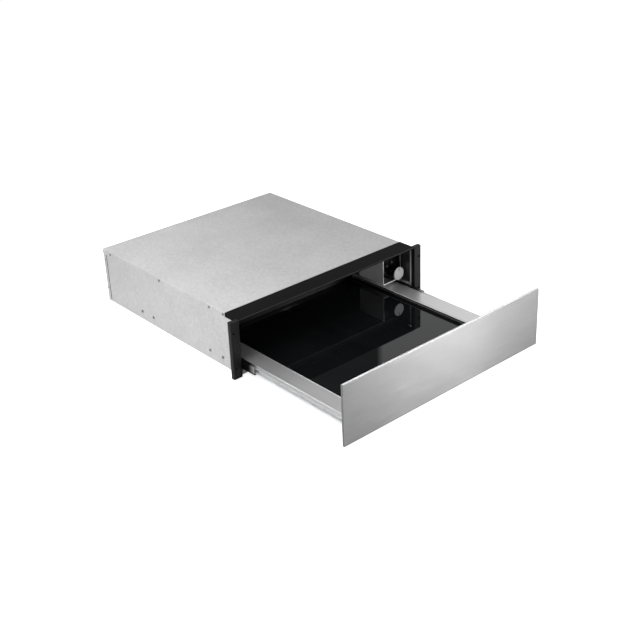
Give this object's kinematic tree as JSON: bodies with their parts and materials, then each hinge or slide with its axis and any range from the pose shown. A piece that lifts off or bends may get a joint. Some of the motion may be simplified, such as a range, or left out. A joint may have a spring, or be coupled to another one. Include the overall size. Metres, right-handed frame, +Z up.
{
  "type": "built-in warming drawer",
  "caption": "Built-in warming drawer: steel casing, black front frame and control knob; a glass-bottomed tray with a brushed steel front runs out on ball-bearing runners.",
  "frame": {"origin": "centre of the underside of the casing's base, which stands on the niche floor", "axes": "+X to the right seen from the front, +Y to the back of the niche, +Z up; the drawer comes out towards -Y"},
  "size_m": [0.594, 0.925, 0.141],
  "materials": {
    "galvanised_steel": "galvanised sheet with a fine spangle",
    "stainless_front": "brushed along its length",
    "black_paint": "satin black",
    "black_enamel": "glossy black",
    "black_moulding": "satin black",
    "gloss_black": "high gloss",
    "black_glass": "black toughened glass, polished",
    "painted_grey": "light grey",
    "drawer_steel": "satin",
    "runner_steel": "zinc plated",
    "blackened_steel": "blackened",
    "cage_steel": "plain",
    "ball_steel": "polished",
    "screw_steel": "zinc plated",
    "knob_metal": "turned and satin",
    "heater_metal": "dull, heat darkened",
    "plain_steel": "plain",
    "motor_iron": "laminated",
    "black_rubber": "soft",
    "clear_rubber": "soft, translucent",
    "cream_plastic": "matt",
    "brown_plastic": "matt",
    "grey_plastic": "matt"
  },
  "bodies": {
    "casing": {"base_pan": "galvanised_steel", "side_panel_left": "galvanised_steel", "side_panel_right": "galvanised_steel", "back_panel": "galvanised_steel", "top_cover": "galvanised_steel", "cover_screws": "screw_steel", "back_screws": "screw_steel", "runner_rivets": "screw_steel", "front_crossbar": "black_paint", "post_left": "black_moulding", "post_right": "black_moulding", "cavity_liner": "black_enamel", "rear_partition": "black_enamel", "control_housing": "painted_grey", "control_fascia": "gloss_black", "selector_switch": "brown_plastic", "fan_chamber": "galvanised_steel", "heater_ring": "heater_metal", "fan_motor": "motor_iron", "motor_bracket": "galvanised_steel", "overheat_limiter": "brown_plastic", "terminal_block": "cream_plastic", "cable_gland": "grey_plastic", "wire_loom": "black_rubber", "loom_clips": "cream_plastic", "runner_fixed_left": "runner_steel", "runner_fixed_right": "runner_steel", "latch_body": "grey_plastic"},
    "drawer": {"drawer_side_left": "drawer_steel", "drawer_side_right": "drawer_steel", "drawer_floor": "galvanised_steel", "glass_plate": "black_glass", "glass_pads": "clear_rubber", "drawer_back": "drawer_steel", "front_panel": "stainless_front", "front_carrier": "drawer_steel", "panel_clip_left": "screw_steel", "panel_clip_right": "screw_steel", "panel_bumpers": "black_rubber", "runner_drawer_left": "runner_steel", "runner_drawer_right": "runner_steel", "latch_striker": "plain_steel"},
    "middle_left": {"runner_middle_left": "blackened_steel"},
    "middle_right": {"runner_middle_right": "blackened_steel"},
    "outer_cage_left": {"outer_cage_left": "cage_steel", "outer_balls_left": "ball_steel"},
    "outer_cage_right": {"outer_cage_right": "cage_steel", "outer_balls_right": "ball_steel"},
    "inner_cage_left": {"inner_cage_left": "cage_steel", "inner_balls_left": "ball_steel"},
    "inner_cage_right": {"inner_cage_right": "cage_steel", "inner_balls_right": "ball_steel"},
    "knob": {"knob_body": "gloss_black", "knob_cap": "knob_metal", "selector_shaft": "plain_steel"},
    "fan": {"fan_wheel": "plain_steel", "fan_shaft": "plain_steel"},
    "plunger": {"latch_plunger": "cream_plastic"}
  },
  "joints": [
    {"name": "drawer_slide", "type": "slide", "parent": "casing", "child": "drawer", "axis": [0, -1, 0], "range_m": [-0.348, 0.04]},
    {"name": "middle_left_slide", "type": "slide", "parent": "casing", "child": "middle_left", "axis": [0, -1, 0], "range_m": [-0.1745, 0.0205]},
    {"name": "outer_cage_left_slide", "type": "slide", "parent": "casing", "child": "outer_cage_left", "axis": [0, -1, 0], "range_m": [-0.0875, 0.0105]},
    {"name": "inner_cage_left_slide", "type": "slide", "parent": "casing", "child": "inner_cage_left", "axis": [0, -1, 0], "range_m": [-0.2615, 0.0305]},
    {"name": "middle_right_slide", "type": "slide", "parent": "casing", "child": "middle_right", "axis": [0, -1, 0], "range_m": [-0.1745, 0.0205]},
    {"name": "outer_cage_right_slide", "type": "slide", "parent": "casing", "child": "outer_cage_right", "axis": [0, -1, 0], "range_m": [-0.0875, 0.0105]},
    {"name": "inner_cage_right_slide", "type": "slide", "parent": "casing", "child": "inner_cage_right", "axis": [0, -1, 0], "range_m": [-0.2615, 0.0305]},
    {"name": "knob_turn", "type": "hinge", "parent": "casing", "child": "knob", "pos_m": [0.2343, -0.2525, 0.0765], "axis": [0, 1, 0], "range_deg": [0, 270]},
    {"name": "fan_spin", "type": "hinge", "parent": "casing", "child": "fan", "pos_m": [0, 0.1675, 0.079], "axis": [0, 1, 0], "continuous": true},
    {"name": "plunger_press", "type": "slide", "parent": "casing", "child": "plunger", "axis": [0, 1, 0], "range_m": [0, 0.004], "stiffness_N_per_m": 800, "springref_m": -0.002}
  ],
  "couplings": [
    {"joint": "middle_left_slide", "follows": "drawer_slide", "ratio": 0.5},
    {"joint": "outer_cage_left_slide", "follows": "drawer_slide", "ratio": 0.25},
    {"joint": "inner_cage_left_slide", "follows": "drawer_slide", "ratio": 0.75},
    {"joint": "middle_right_slide", "follows": "drawer_slide", "ratio": 0.5},
    {"joint": "outer_cage_right_slide", "follows": "drawer_slide", "ratio": 0.25},
    {"joint": "inner_cage_right_slide", "follows": "drawer_slide", "ratio": 0.75}
  ]
}
